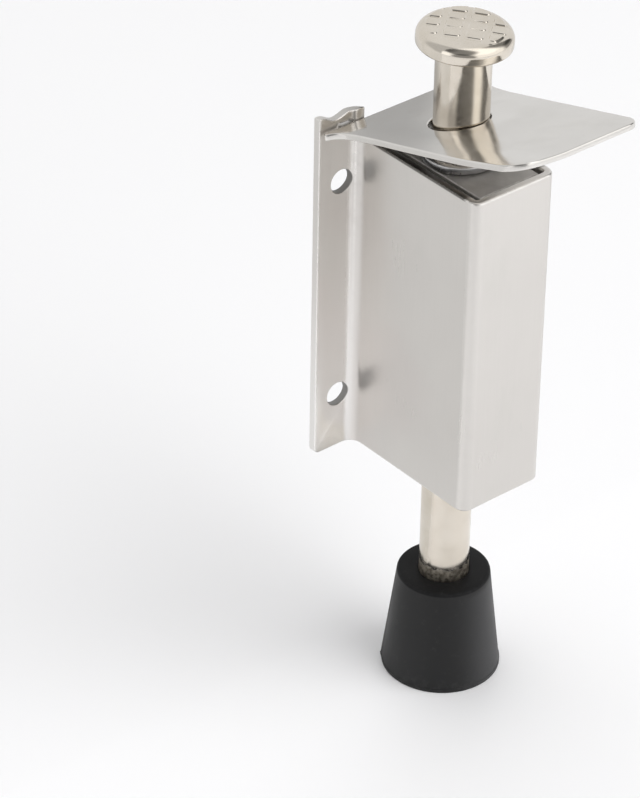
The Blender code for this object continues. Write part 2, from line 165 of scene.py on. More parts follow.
def mark_wear(obj):
    """Store how sharply the surface turns, for the materials' rubbed edges. Broad faces get none."""
    mesh = obj.data
    blunt_deg = 10.0                 # an edge that turns less than this shows no wear
    keen_deg = 24.0                  # and one that turns more shows all of it
    bm = bmesh.new()
    bm.from_mesh(mesh)
    values = []
    for vert in bm.verts:
        sharpest = 0.0
        for edge in vert.link_edges:
            if len(edge.link_faces) == 2:
                sharpest = max(sharpest, edge.calc_face_angle(0.0))
        share = (math.degrees(sharpest) - blunt_deg) / (keen_deg - blunt_deg)
        values.append(min(1.0, max(0.0, share)))
    corner_values = []
    for face in bm.faces:
        longest = max(edge.calc_length() for edge in face.edges)
        narrow = face.calc_area() < NARROW * longest
        for loop in face.loops:
            corner_values.append(values[loop.vert.index] if narrow else 0.0)
    bm.free()
    layer = mesh.attributes.new("wear", "FLOAT", "CORNER")
    layer.data.foreach_set("value", corner_values)


def finish_piece(obj, body, node, material):
    """Smooth, coat and hand one piece to the frame in place of its CAD node."""
    obj.data.shade_smooth()
    obj.data.set_sharp_from_angle(angle=SHARP_ANGLE)
    mark_wear(obj)
    obj.data.materials.clear()
    obj.data.materials.append(material)
    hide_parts(node)
    if body:
        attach(obj, body)


def turned(name, profile, closed=False):
    """Turn an (r, z) profile about Z. Points on the axis become one vertex."""

    def build(bm):
        rings = []
        for r, z in profile:
            if r == 0.0:
                rings.append([bm.verts.new((0.0, 0.0, z))])
                continue
            ring = []
            for i in range(TURN):
                angle = math.tau * i / TURN
                ring.append(bm.verts.new((r * math.cos(angle), r * math.sin(angle), z)))
            rings.append(ring)
        pairs = list(zip(rings, rings[1:]))
        if closed:
            pairs.append((rings[-1], rings[0]))
        for upper, lower in pairs:
            for i in range(TURN):
                unique = []
                for ring, k in ((upper, i), (upper, i + 1), (lower, i + 1), (lower, i)):
                    vert = ring[k % len(ring)]
                    if vert not in unique:
                        unique.append(vert)
                if len(unique) > 2:
                    bm.faces.new(unique)
        bmesh.ops.recalc_face_normals(bm, faces=bm.faces)

    return built(name, build)


def rounded_profile(corners, steps=4):
    """Points of a closed profile whose corners (r, z, radius) are rounded."""
    points = []
    count = len(corners)
    for i in range(count):
        r, z, radius = corners[i]
        here = Vector((r, z))
        if radius <= 0.0:
            points.append((r, z))
            continue
        before = (Vector(corners[i - 1][:2]) - here).normalized()
        after = (Vector(corners[(i + 1) % count][:2]) - here).normalized()
        half = before.angle(after) / 2
        reach = radius / math.tan(half)
        start = here + before * reach
        end = here + after * reach
        middle = here + (before + after).normalized() * (radius / math.sin(half))
        a0 = math.atan2(start.y - middle.y, start.x - middle.x)
        a1 = math.atan2(end.y - middle.y, end.x - middle.x)
        swing = (a1 - a0 + math.pi) % math.tau - math.pi
        for k in range(steps + 1):
            angle = a0 + swing * k / steps
            points.append((middle.x + radius * math.cos(angle), middle.y + radius * math.sin(angle)))
    return points


def ring_piece(name, corners):
    """A turned ring with a hole through it."""
    return turned(name, rounded_profile(corners), closed=True)


def box_cutter(low, high):
    low = Vector(low)
    high = Vector(high)

    def build(bm):
        size = Matrix.Diagonal((*(high - low), 1.0))
        bmesh.ops.create_cube(bm, size=1.0, matrix=Matrix.Translation((low + high) / 2) @ size)

    return built("cutter", build)


def rod_cutter(centre, axis, radius, length, segments=64):
    turn = Vector((0.0, 0.0, 1.0)).rotation_difference(Vector(axis)).to_matrix().to_4x4()

    def build(bm):
        bmesh.ops.create_cone(
            bm, cap_ends=True, segments=segments, radius1=radius, radius2=radius,
            depth=length, matrix=Matrix.Translation(centre) @ turn)

    return built("cutter", build)


def prism_cutter(outline, near, far):
    """An outline of (x, z) points, carried from y = near to y = far."""

    def build(bm):
        face = bm.faces.new([bm.verts.new((x, near, z)) for x, z in outline])
        grown = bmesh.ops.extrude_face_region(bm, geom=[face])["geom"]
        moved = [item for item in grown if isinstance(item, bmesh.types.BMVert)]
        bmesh.ops.translate(bm, verts=moved, vec=(0.0, far - near, 0.0))
        bmesh.ops.recalc_face_normals(bm, faces=bm.faces)

    return built("cutter", build)


def freeze(obj, cutters=()):
    """Replace an object's mesh by its evaluated one, and drop its modifiers and cutters."""
    bpy.context.view_layer.update()
    depsgraph = bpy.context.evaluated_depsgraph_get()
    mesh = bpy.data.meshes.new_from_object(obj.evaluated_get(depsgraph))
    obj.modifiers.clear()
    obj.data = mesh
    for cutter in cutters:
        bpy.data.objects.remove(cutter, do_unlink=True)


def cut_and_break_edges(obj, cutters, width, segments=3, share=None):
    """Cut openings, then round every sharp edge; share(middle) scales the rounding of one edge."""
    least_turn = math.radians(40.0)
    for cutter in cutters:
        modifier = obj.modifiers.new("cut", "BOOLEAN")
        modifier.operation = "DIFFERENCE"
        modifier.solver = "EXACT"
        modifier.object = cutter
    freeze(obj, cutters)
    bm = bmesh.new()
    bm.from_mesh(obj.data)
    bmesh.ops.remove_doubles(bm, verts=bm.verts, dist=0.02 * MM)
    bmesh.ops.dissolve_limit(
        bm, angle_limit=math.radians(0.5), verts=bm.verts, edges=bm.edges, delimit={"NORMAL"})
    weights = bm.edges.layers.float.new("bevel_weight_edge")
    for edge in bm.edges:
        if len(edge.link_faces) == 2 and edge.calc_face_angle(0.0) > least_turn:
            middle = (edge.verts[0].co + edge.verts[1].co) / 2
            edge[weights] = share(middle) if share else 1.0
    bm.to_mesh(obj.data)
    bm.free()
    bevel = obj.modifiers.new("broken_edges", "BEVEL")
    bevel.width = width
    bevel.segments = segments
    bevel.limit_method = "WEIGHT"
    bevel.use_clamp_overlap = False
    freeze(obj)


def folded_strip(name, outer, inner, extent, axis):
    """A folded sheet as a solid: two lines in plan, closed at their ends, carried along an axis."""
    low, high = extent

    def build(bm):
        def vert(point, level):
            if axis == "Z":
                return bm.verts.new((point[0], point[1], level))
            return bm.verts.new((level, point[0], point[1]))

        rows = []
        for line in (outer, inner):
            rows.append(([vert(p, low) for p in line], [vert(p, high) for p in line]))
        (outer_low, outer_high), (inner_low, inner_high) = rows
        count = len(outer)
        for i in range(count - 1):
            bm.faces.new((outer_low[i], outer_low[i + 1], outer_high[i + 1], outer_high[i]))
            bm.faces.new((inner_low[i + 1], inner_low[i], inner_high[i], inner_high[i + 1]))
            bm.faces.new((outer_high[i], outer_high[i + 1], inner_high[i + 1], inner_high[i]))
            bm.faces.new((outer_low[i + 1], outer_low[i], inner_low[i], inner_low[i + 1]))
        for i in (0, count - 1):
            bm.faces.new((outer_low[i], outer_high[i], inner_high[i], inner_low[i]))
        bmesh.ops.recalc_face_normals(bm, faces=bm.faces)

    return built(name, build)


def swept_wire(name, points, radius, sides=14):
    """A round wire along a dense line, with rounded ends and no twist."""
    points = [Vector(p) for p in points]
    count = len(points)
    tangents = []
    for i in range(count):
        tangents.append((points[min(i + 1, count - 1)] - points[max(i - 1, 0)]).normalized())

    stations = [(0, -0.95), (0, -0.7), (0, -0.3)] + [(i, 0.0) for i in range(count)]
    stations += [(count - 1, 0.3), (count - 1, 0.7), (count - 1, 0.95)]

    def build(bm):
        """A ring at each station: a point of the line, and a share of the way to a rounded end's tip."""
        normal = tangents[0].orthogonal().normalized()
        rings = []
        for i, share in stations:
            tangent = tangents[i]
            normal = (normal - tangent * normal.dot(tangent)).normalized()
            side = tangent.cross(normal)
            centre = points[i] + tangent * radius * share * 0.5
            size = radius * math.sqrt(1 - share ** 2)
            ring = []
            for k in range(sides):
                angle = math.tau * k / sides
                out = normal * math.cos(angle) + side * math.sin(angle)
                ring.append(bm.verts.new(centre + out * size))
            rings.append(ring)
        for a, b in zip(rings, rings[1:]):
            for k in range(sides):
                m = (k + 1) % sides
                bm.faces.new((a[k], a[m], b[m], b[k]))
        bm.faces.new(reversed(rings[0]))
        bm.faces.new(rings[-1])
        bmesh.ops.recalc_face_normals(bm, faces=bm.faces)

    return built(name, build)


def inside(point, loops):
    """Whether a point of the plane lies inside the first closed loop and outside its holes."""
    x, y = point
    result = False
    for loop in loops:
        for (xi, yi), (xj, yj) in zip(loop, loop[-1:] + loop[:-1]):
            if (yi > y) != (yj > y) and x < (xj - xi) * (y - yi) / (yj - yi) + xi:
                result = not result
    return result


def divide_loop(loop, spacing):
    """The same closed loop with no step longer than spacing."""
    points = []
    for a, b in zip(loop, loop[1:] + loop[:1]):
        a = Vector(a)
        b = Vector(b)
        steps = max(1, math.ceil((b - a).length / spacing))
        for i in range(steps):
            points.append(tuple(a.lerp(b, i / steps)))
    return points


def offset_loop(loop, distance):
    """Move a counter-clockwise loop inwards, or a clockwise one outwards, by mitred corners."""
    count = len(loop)
    moved = []
    for i in range(count):
        here = Vector(loop[i])
        before = (here - Vector(loop[i - 1])).normalized()
        after = (Vector(loop[(i + 1) % count]) - here).normalized()
        n1 = Vector((-before.y, before.x))
        n2 = Vector((-after.y, after.x))
        mitre = (n1 + n2) / (1.0 + n1.dot(n2))
        moved.append(tuple(here + mitre * distance))
    return moved


def plate(name, outline, holes, thickness, edge, spacing, place):
    """A plate with rounded edges from a flat outline, then put in space by place(u, v, height).

    The outline runs counter-clockwise and the holes clockwise.
    """
    loops = [divide_loop(loop, spacing) for loop in [outline] + holes]
    support = edge * 1.35
    rims = [offset_loop(loop, support) for loop in loops]

    coords = []
    edges = []
    for rim in rims:
        start = len(coords)
        coords += rim
        edges += [(start + i, start + (i + 1) % len(rim)) for i in range(len(rim))]
    guard = [offset_loop(loop, support + 0.45 * spacing) for loop in loops]
    us = [p[0] for p in rims[0]]
    vs = [p[1] for p in rims[0]]
    rows = round((max(vs) - min(vs)) / (spacing * 0.87))
    for row in range(1, rows):
        v = min(vs) + (max(vs) - min(vs)) * row / rows
        columns = round((max(us) - min(us)) / spacing)
        for column in range(columns + 1):
            u = min(us) + (max(us) - min(us)) * (column + 0.5 * (row % 2)) / columns
            if inside((u, v), guard):
                coords.append((u, v))
    result = delaunay_2d_cdt([Vector(c) for c in coords], edges, [], 0, 1e-9)
    flat = [tuple(v) for v in result[0]]
    triangles = []
    for face in result[2]:
        centre = (sum(flat[i][0] for i in face) / 3, sum(flat[i][1] for i in face) / 3)
        if inside(centre, rims):
            triangles.append(face)
    first = {}
    for index, sources in enumerate(result[3]):
        for source in sources:
            first[source] = index

    bends = 4
    section = []
    for i in range(bends + 1):
        angle = math.radians(90.0 * i / bends)
        section.append((edge * (1.0 - math.sin(angle)), thickness / 2 - edge * (1.0 - math.cos(angle))))
    section += [(inset, -height) for inset, height in reversed(section)]

    def build(bm):
        faces_of = {}
        for side in (1.0, -1.0):
            made = [bm.verts.new(place(u, v, side * thickness / 2)) for u, v in flat]
            faces_of[side] = made
            for face in triangles:
                verts = [made[i] for i in face]
                bm.faces.new(verts if side > 0 else verts[::-1])
        start = 0
        for loop in loops:
            count = len(loop)
            rings = [[faces_of[1.0][first[start + i]] for i in range(count)]]
            for inset, height in section:
                ring = offset_loop(loop, inset)
                rings.append([bm.verts.new(place(u, v, height)) for u, v in ring])
            rings.append([faces_of[-1.0][first[start + i]] for i in range(count)])
            for upper, lower in zip(rings, rings[1:]):
                for i in range(count):
                    j = (i + 1) % count
                    bm.faces.new((upper[i], lower[i], lower[j], upper[j]))
            start += count
        loose = [v for v in bm.verts if not v.link_faces]
        bmesh.ops.delete(bm, geom=loose, context="VERTS")
        bmesh.ops.recalc_face_normals(bm, faces=bm.faces)

    return built(name, build)


# ---------------------------------------------------------------- materials

class Nodes:
    """Short calls for building one node tree."""

    def __init__(self, owner):
        owner.use_nodes = True
        self.owner = owner
        self.tree = owner.node_tree
        self.cache = {}

    def add(self, kind, values=None, **settings):
        node = self.tree.nodes.new(kind)
        for key, value in settings.items():
            setattr(node, key, value)
        for key, value in (values or {}).items():
            self.put(node.inputs[key], value)
        return node

    def put(self, socket, value):
        if isinstance(value, bpy.types.NodeSocket):
            self.tree.links.new(value, socket)
        else:
            socket.default_value = value

    def place(self, scale, turn=(0.0, 0.0, 0.0), shift=(0.0, 0.0, 0.0)):
        """Object coordinates, in metres, turned and then scaled."""
        if "object" not in self.cache:
            self.cache["object"] = self.add("ShaderNodeTexCoord").outputs["Object"]
        turned_by = self.add("ShaderNodeMapping", {
            "Vector": self.cache["object"], "Rotation": [math.radians(t) for t in turn], "Location": shift})
        return self.add("ShaderNodeMapping", {
            "Vector": turned_by.outputs[0], "Scale": scale}).outputs[0]

    def noise(self, scale, detail=3.0, rough=0.55, distortion=0.0, **placing):
        scale = (scale, scale, scale) if isinstance(scale, (int, float)) else scale
        return self.add("ShaderNodeTexNoise", {
            "Vector": self.place(scale, **placing), "Scale": 1.0, "Detail": detail, "Roughness": rough,
            "Distortion": distortion}).outputs["Fac"]

    def cells(self, scale, feature="F1"):
        return self.add("ShaderNodeTexVoronoi", {
            "Vector": self.place((scale, scale, scale)), "Scale": 1.0}, feature=feature).outputs["Distance"]

    def remap(self, value, low, high, to_low=0.0, to_high=1.0, smooth=True):
        return self.add("ShaderNodeMapRange", {
            "Value": value, "From Min": low, "From Max": high, "To Min": to_low, "To Max": to_high},
            interpolation_type="SMOOTHSTEP" if smooth else "LINEAR").outputs["Result"]

    def scaled(self, value, mask, factor):
        """The value, times factor where the mask is 1."""
        return self.times(value, self.remap(mask, 0.0, 1.0, 1.0, factor, smooth=False))

    def math(self, operation, a, b=0.0):
        return self.add("ShaderNodeMath", {0: a, 1: b}, operation=operation).outputs[0]

    def plus(self, a, b):
        return self.math("ADD", a, b)

    def minus(self, a, b):
        return self.math("SUBTRACT", a, b)

    def size(self, a):
        """The value without its sign."""
        return self.math("ABSOLUTE", a)

    def times(self, first, *others):
        for other in others:
            first = self.math("MULTIPLY", first, other)
        return first

    def length(self, a, b):
        """Length of a flat vector."""
        return self.math("SQRT", self.plus(self.times(a, a), self.times(b, b)))

    def mix(self, factor, a, b):
        node = self.tree.nodes.new("ShaderNodeMix")
        node.data_type = "RGBA"
        for socket, value in ((node.inputs[0], factor), (node.inputs[6], a), (node.inputs[7], b)):
            if isinstance(value, tuple):
                value = (*value, 1.0)
            self.put(socket, value)
        return node.outputs[2]

    def bump(self, height, distance, strength, normal=None):
        values = {"Height": height, "Distance": distance, "Strength": strength}
        if normal is not None:
            values["Normal"] = normal
        return self.add("ShaderNodeBump", values).outputs["Normal"]

    def rubbed(self, patches, low, high, least):
        """How bright an edge is rubbed: the stored wear, uneven by a noise of patches."""
        wear = self.add("ShaderNodeAttribute", attribute_name="wear").outputs["Fac"]
        return self.times(wear, self.remap(patches, low, high, least, 1.0))

    def tint(self, colour, value, low, high, amount, target):
        """The colour, drawn towards target by amount where the value passes from low to high."""
        return self.mix(self.times(self.remap(value, low, high), amount), colour, target)

    def dressed(self, **values):
        """The material, with its shader's inputs set or linked by short names."""
        names = {
            "colour": "Base Color", "metallic": "Metallic", "roughness": "Roughness", "normal": "Normal",
            "specular": "Specular IOR Level", "sheen": "Sheen Weight", "subsurface": "Subsurface Weight"}
        shader = self.tree.nodes["Principled BSDF"]
        for key, value in values.items():
            if isinstance(value, tuple):
                value = (*value, 1.0)
            self.put(shader.inputs[names[key]], value)
        return self.owner

    def xyz(self):
        if "xyz" not in self.cache:
            self.place((1.0, 1.0, 1.0))
            self.cache["xyz"] = self.add("ShaderNodeSeparateXYZ", {"Vector": self.cache["object"]}).outputs
        return self.cache["xyz"]


def brushed_stainless():
    """Sheet with a fine upright satin grain, faint stains and a rough weld run beside the guides, with a
    painted floor reflection on the lower flanges and painted shade on the side walls' top edges and in the
    screw holes.
    """
    n = Nodes(bpy.data.materials.new("brushed_stainless"))
    grain = n.noise((2600.0, 2600.0, 60.0), 3.0, 0.6)
    cloud = n.noise(36.0, 3.0, 0.5)
    stain = n.noise((70.0, 70.0, 34.0), 4.0, 0.6, shift=(0.3, 0.1, 0.2))
    warm = n.noise(30.0, 2.0, 0.5, shift=(0.7, 0.2, 0.9))
    colour = n.mix(n.remap(cloud, 0.30, 0.70), (0.700, 0.676, 0.646), (0.728, 0.704, 0.674))
    colour = n.tint(colour, warm, 0.52, 0.72, 0.30, (0.680, 0.625, 0.600))
    colour = n.tint(colour, stain, 0.55, 0.75, 0.25, (0.630, 0.625, 0.585))
    colour = n.tint(colour, grain, 0.3, 0.7, 0.03, (0.52, 0.50, 0.48))
    edge = n.rubbed(n.noise(500.0), 0.30, 0.60, 0.45)
    colour = n.mix(n.times(edge, 0.70), colour, (0.86, 0.84, 0.81))

    x, y, z = n.xyz()
    across = n.size(x)
    # painted reflection: the fold and flange are lightened towards the bottom, where the sheet would mirror
    # the bright floor
    painted_flange_reflection = n.times(
        n.remap(across, HALF_WIDTH, HALF_WIDTH + 2.0 * MM), n.remap(y, DOOR_Y - 5.5 * MM, DOOR_Y - 2.5 * MM),
        n.remap(z, 128.0 * MM, 72.0 * MM, 0.05, 0.90))
    colour = n.mix(painted_flange_reflection, colour, (0.93, 0.915, 0.895))

    holes_middle = sum(SCREW_HOLE_Z) / 2
    above_hole = n.minus(n.size(n.minus(z, holes_middle)), SCREW_HOLE_Z[1] - holes_middle)
    from_hole = n.length(above_hole, n.minus(across, SCREW_HOLE_X))
    hole_wall = n.remap(from_hole, SCREW_HOLE_R + 0.15 * MM, SCREW_HOLE_R + 0.05 * MM, 0.0, 0.50)
    top_edge = n.times(
        n.remap(z, HOUSING_TOP_Z - 0.75 * MM, HOUSING_TOP_Z - 0.35 * MM),
        n.remap(y, FRONT_Y + 3.0 * MM, FRONT_Y + 4.5 * MM), n.remap(y, DOOR_Y - 4.0 * MM, DOOR_Y - 5.0 * MM))
    # painted shade: the side walls' top edges under the pedal and the screw holes' walls are darkened
    painted_edge_shade = n.math("MAXIMUM", top_edge, hole_wall)
    colour = n.mix(n.times(painted_edge_shade, 0.92), colour, (0.130, 0.122, 0.112))

    weld = n.times(
        n.remap(across, 11.3 * MM, 12.5 * MM), n.remap(across, 16.6 * MM, 15.2 * MM),
        n.remap(z, 108.0 * MM, 121.0 * MM), n.remap(z, 139.0 * MM, 137.5 * MM),
        n.remap(y, DOOR_Y - 7.0 * MM, DOOR_Y - 5.2 * MM), n.remap(n.noise(420.0), 0.42, 0.60))

    rough = n.plus(n.remap(grain, 0.25, 0.75, 0.295, 0.325), n.remap(cloud, 0.3, 0.7, -0.03, 0.05))
    rough = n.plus(rough, n.times(weld, 0.10))
    rough = n.minus(rough, n.times(edge, 0.08))
    normal = n.bump(grain, 0.008 * MM, 0.12)
    normal = n.bump(n.cells(1300.0, "SMOOTH_F1"), 0.1 * MM, n.times(weld, 0.6), normal)
    normal = n.bump(n.noise(26.0, 2.0), 0.12 * MM, 0.30, normal)
    return n.dressed(colour=colour, metallic=1.0, roughness=rough, normal=normal)


def polished_stainless():
    """Buffed plate with faint waviness, hairline scratches and shoe scuffs towards its front."""
    n = Nodes(bpy.data.materials.new("polished_stainless"))
    cloud = n.noise(55.0, 3.0, 0.5)
    smudge = n.noise(130.0, 4.0, 0.6, shift=(0.4, 0.6, 0.1))
    hair = n.noise((9000.0, 120.0, 120.0), 2.0, 0.5, turn=(0.0, 0.0, 24.0))
    hair2 = n.noise((140.0, 8000.0, 140.0), 2.0, 0.5, turn=(0.0, 0.0, -17.0))
    lines = n.math("MAXIMUM", n.remap(hair, 0.68, 0.76), n.remap(hair2, 0.69, 0.77))
    y = n.xyz()[1]
    scuffed = n.times(n.remap(y, -4.0 * MM, -22.0 * MM), n.remap(n.noise(90.0), 0.42, 0.62))
    colour = n.mix(n.remap(cloud, 0.35, 0.66), (0.725, 0.705, 0.675), (0.765, 0.745, 0.715))
    colour = n.tint(colour, smudge, 0.50, 0.72, 0.22, (0.66, 0.635, 0.600))
    colour = n.mix(n.times(lines, 0.14), colour, (0.55, 0.53, 0.50))
    edge = n.rubbed(n.noise(420.0), 0.30, 0.60, 0.4)
    colour = n.mix(n.times(edge, 0.40), colour, (0.86, 0.84, 0.81))
    rough = n.plus(n.remap(smudge, 0.35, 0.70, 0.10, 0.16), n.times(lines, 0.08))
    rough = n.plus(rough, n.times(scuffed, 0.07))
    normal = n.bump(n.plus(lines, n.noise(2600.0, 2.0)), 0.005 * MM, 0.30)
    normal = n.bump(n.noise(36.0, 1.0), 0.2 * MM, 0.24, normal)
    return n.dressed(colour=colour, metallic=1.0, roughness=rough, normal=normal)


def nickel_plate():
    """Bright warm plating over turned steel: tiny pits, finger marks and thin spots on its edges."""
    n = Nodes(bpy.data.materials.new("nickel_plate"))
    cloud = n.noise(85.0, 3.0, 0.55)
    marks = n.noise(260.0, 4.0, 0.6, distortion=0.6, shift=(0.2, 0.5, 0.3))
    pits = n.remap(n.cells(1500.0), 0.16, 0.07)
    lathe = n.noise((60.0, 60.0, 5200.0), 2.0, 0.5)
    colour = n.mix(n.remap(cloud, 0.34, 0.66), (0.715, 0.655, 0.568), (0.785, 0.728, 0.645))
    colour = n.tint(colour, marks, 0.52, 0.72, 0.30, (0.640, 0.580, 0.500))
    colour = n.mix(n.times(pits, 0.25), colour, (0.40, 0.36, 0.31))
    edge = n.rubbed(n.noise(520.0), 0.35, 0.65, 0.3)
    colour = n.mix(n.times(edge, 0.30), colour, (0.84, 0.81, 0.76))

    z = n.xyz()[2]
    ragged = n.remap(n.noise(520.0, 4.0, 0.65), 0.3, 0.7, -0.7 * MM, 0.7 * MM, smooth=False)
    grime_top = FOOT_TOP_Z + 3.7 * MM
    soiled = n.remap(n.plus(z, ragged), grime_top, grime_top - 0.8 * MM)
    soiled = n.times(soiled, n.remap(marks, 0.20, 0.50, 0.75, 1.0))
    grime = n.mix(n.remap(n.noise(900.0, 4.0, 0.6), 0.36, 0.66), (0.21, 0.185, 0.15), (0.52, 0.47, 0.395))
    colour = n.mix(soiled, colour, grime)
    rough = n.plus(n.remap(marks, 0.35, 0.70, 0.085, 0.17), n.times(pits, 0.10))
    rough = n.plus(rough, n.remap(z, HEAD_UNDER_Z - 2.1 * MM, HEAD_UNDER_Z - 8.1 * MM, 0.0, 0.055))
    rough = n.plus(rough, n.times(soiled, 0.30))
    normal = n.bump(n.plus(lathe, n.times(pits, -1.5)), 0.006 * MM, 0.35)
    normal = n.bump(n.noise(140.0, 2.0), 0.08 * MM, 0.16, normal)
    return n.dressed(colour=colour, metallic=1.0, roughness=rough, normal=normal)


def mill_steel(name, dark, light, rough_low, rough_high, metallic):
    """Plain steel as it comes from the mill, with a mottled skin and brighter rubbed edges."""
    n = Nodes(bpy.data.materials.new(name))
    skin = n.noise(190.0, 5.0, 0.62)
    cloud = n.noise(60.0, 2.0, 0.5, shift=(0.5, 0.1, 0.8))
    grain = n.noise((3600.0, 260.0, 260.0), 3.0, 0.5)
    colour = n.mix(n.remap(skin, 0.34, 0.66), dark, light)
    colour = n.tint(colour, cloud, 0.5, 0.7, 0.3, tuple(c * 0.72 for c in dark))
    edge = n.rubbed(n.noise(600.0), 0.35, 0.65, 0.3)
    colour = n.mix(n.times(edge, 0.6), colour, (0.70, 0.69, 0.67))
    rough = n.remap(skin, 0.30, 0.70, rough_low, rough_high)
    normal = n.bump(n.plus(grain, skin), 0.02 * MM, 0.4)
    return n.dressed(colour=colour, metallic=metallic, roughness=rough, normal=normal)


def white_nylon():
    n = Nodes(bpy.data.materials.new("white_nylon"))
    cloud = n.noise(120.0, 3.0, 0.5)
    dirt = n.noise(420.0, 4.0, 0.6)
    colour = n.mix(n.remap(cloud, 0.35, 0.65), (0.74, 0.73, 0.68), (0.83, 0.82, 0.79))
    colour = n.tint(colour, dirt, 0.55, 0.75, 0.35, (0.45, 0.43, 0.39))
    rough = n.remap(dirt, 0.3, 0.7, 0.38, 0.60)
    return n.dressed(colour=colour, roughness=rough, subsurface=0.08, normal=n.bump(dirt, 0.02 * MM, 0.4))


def black_rubber():
    """Moulded rubber: a fine matt skin, dust held in it, a painted sheen on one side, a scuffed sole."""
    n = Nodes(bpy.data.materials.new("black_rubber"))
    skin = n.noise(2600.0, 4.0, 0.6)
    cloud = n.noise(90.0, 3.0, 0.5)
    dust = n.noise(620.0, 5.0, 0.65, shift=(0.1, 0.4, 0.6))
    x, y, z = n.xyz()
    colour = n.mix(n.remap(cloud, 0.3, 0.7), (0.0060, 0.0061, 0.0066), (0.0092, 0.0094, 0.0100))
    colour = n.tint(colour, dust, 0.56, 0.74, 0.16, (0.050, 0.050, 0.050))
    scuffs = n.times(n.remap(z, 4.5 * MM, 0.5 * MM), n.remap(dust, 0.42, 0.62))
    colour = n.mix(n.times(scuffs, 0.25), colour, (0.06, 0.06, 0.059))
    aside = direction(62.0, 0.0)
    facing = n.plus(n.times(x, aside.x), n.times(y, aside.y))
    # painted sheen: the side facing azimuth 62 degrees is lightened just below the top, as if light fell on
    # it
    painted_sheen = n.times(
        n.remap(facing, 0.0, 12.5 * MM), n.remap(z, FOOT_TOP_Z - 0.6 * MM, FOOT_TOP_Z - 2.7 * MM),
        n.remap(cloud, 0.3, 0.7, 0.8, 1.0))
    colour = n.mix(painted_sheen, colour, (0.052, 0.052, 0.054))
    edge = n.rubbed(dust, 0.35, 0.65, 0.3)
    colour = n.mix(n.times(edge, 0.25), colour, (0.045, 0.045, 0.046))
    rough = n.plus(n.remap(cloud, 0.3, 0.7, 0.44, 0.56), n.times(scuffs, 0.15))
    normal = n.bump(n.plus(skin, n.times(dust, 0.6)), 0.03 * MM, 0.35)
    gloss = n.remap(z, FOOT_TOP_Z - 1.0 * MM, FOOT_TOP_Z - 0.5 * MM, 0.36, 0.12)
    return n.dressed(colour=colour, roughness=rough, specular=gloss, sheen=0.02, normal=normal)


def floor_material():
    n = Nodes(bpy.data.materials.new("pale_floor"))
    cloud = n.noise(5.0, 3.0, 0.5)
    colour = n.mix(cloud, (0.925, 0.925, 0.940), (0.945, 0.945, 0.957))
    return n.dressed(colour=colour, roughness=n.remap(cloud, 0.3, 0.7, 0.48, 0.56), specular=0.25)


# ---------------------------------------------------------------- housing

def add_body_channel(material):
    flange_y = DOOR_Y - SHEET
    fold_x = HALF_WIDTH + FLANGE_BEND
    front_x = HALF_WIDTH - FRONT_BEND
    steps = 14
    fold = (-fold_x, flange_y - FLANGE_BEND)
    corner = (-front_x, FRONT_Y + FRONT_BEND)
    lines = []
    for flat_y, depth in ((flange_y, 0.0), (DOOR_Y, SHEET)):
        half = [(-FLANGE_HALF_WIDTH, flat_y)]
        half += arc(fold, FLANGE_BEND + depth, 90.0, 0.0, steps)
        half += arc(corner, FRONT_BEND - depth, 180.0, 270.0, steps)
        lines.append(half + [(-x, y) for x, y in reversed(half)])
    body = folded_strip("body_channel_fine", *lines, (HOUSING_BOTTOM_Z, EAR_TIP_Z), "Z")

    past = 5.0 * MM
    wide = FLANGE_HALF_WIDTH + past
    cutters = [box_cutter((-wide, FRONT_Y - past, HOUSING_TOP_Z), (wide, EAR_FRONT_Y, EAR_TIP_Z + past))]
    for side in (-1.0, 1.0):
        ear = ear_outline()
        cutters.append(prism_cutter([(side * x, z) for x, z in ear], EAR_FRONT_Y - past, DOOR_Y + past))
        cutters.append(box_cutter(
            (side * LUG_X - SLOT_WIDTH / 2, EAR_FRONT_Y - past, PIVOT.z - SLOT_HEIGHT / 2),
            (side * LUG_X + SLOT_WIDTH / 2, DOOR_Y + past, PIVOT.z + SLOT_HEIGHT / 2)))
        below = HOUSING_BOTTOM_Z - past
        turn = (FLANGE_HALF_WIDTH - SHEET_CORNER_R, HOUSING_BOTTOM_Z + SHEET_CORNER_R)
        foot = arc(turn, SHEET_CORNER_R, 0.0, -90.0, 8) + [(turn[0], below), (wide, below), (wide, turn[1])]
        cutters.append(prism_cutter([(side * x, z) for x, z in foot], DOOR_Y - past, DOOR_Y + past))
        for z in SCREW_HOLE_Z:
            centre = (side * SCREW_HOLE_X, DOOR_Y, z)
            cutters.append(rod_cutter(centre, (0.0, 1.0, 0.0), SCREW_HOLE_R, 4 * SHEET))

    def rounding(middle):
        """Wide on the front wall's level edges and inside the top, medium beside, small elsewhere.

        Each run of smoothly joined edges has one share, so that their rounded faces meet cleanly.
        """
        small = EDGE / FRONT_EDGE
        at_top = abs(middle.z - HOUSING_TOP_Z) < 0.1 * MM
        at_bottom = abs(middle.z - HOUSING_BOTTOM_Z) < 0.1 * MM
        if not at_top and not at_bottom:
            return small
        slack = 0.02 * MM
        opening = abs(middle.x) < HALF_WIDTH - SHEET + slack and middle.y > FRONT_Y + SHEET - slack
        from_fold = math.hypot(abs(middle.x) - fold_x, middle.y - fold[1])
        door_side = middle.y > fold[1] and from_fold > FLANGE_BEND + 0.8 * SHEET
        if opening or door_side:
            return 0.8 if at_top else small
        if middle.y < FRONT_Y + FRONT_BEND + 0.1 * MM:
            return 1.0
        return 0.7 if middle.y < EAR_FRONT_Y - 3.0 * MM else small

    cut_and_break_edges(body, cutters, FRONT_EDGE, 4, share=rounding)
    finish_piece(body, "housing", "body_channel", material)


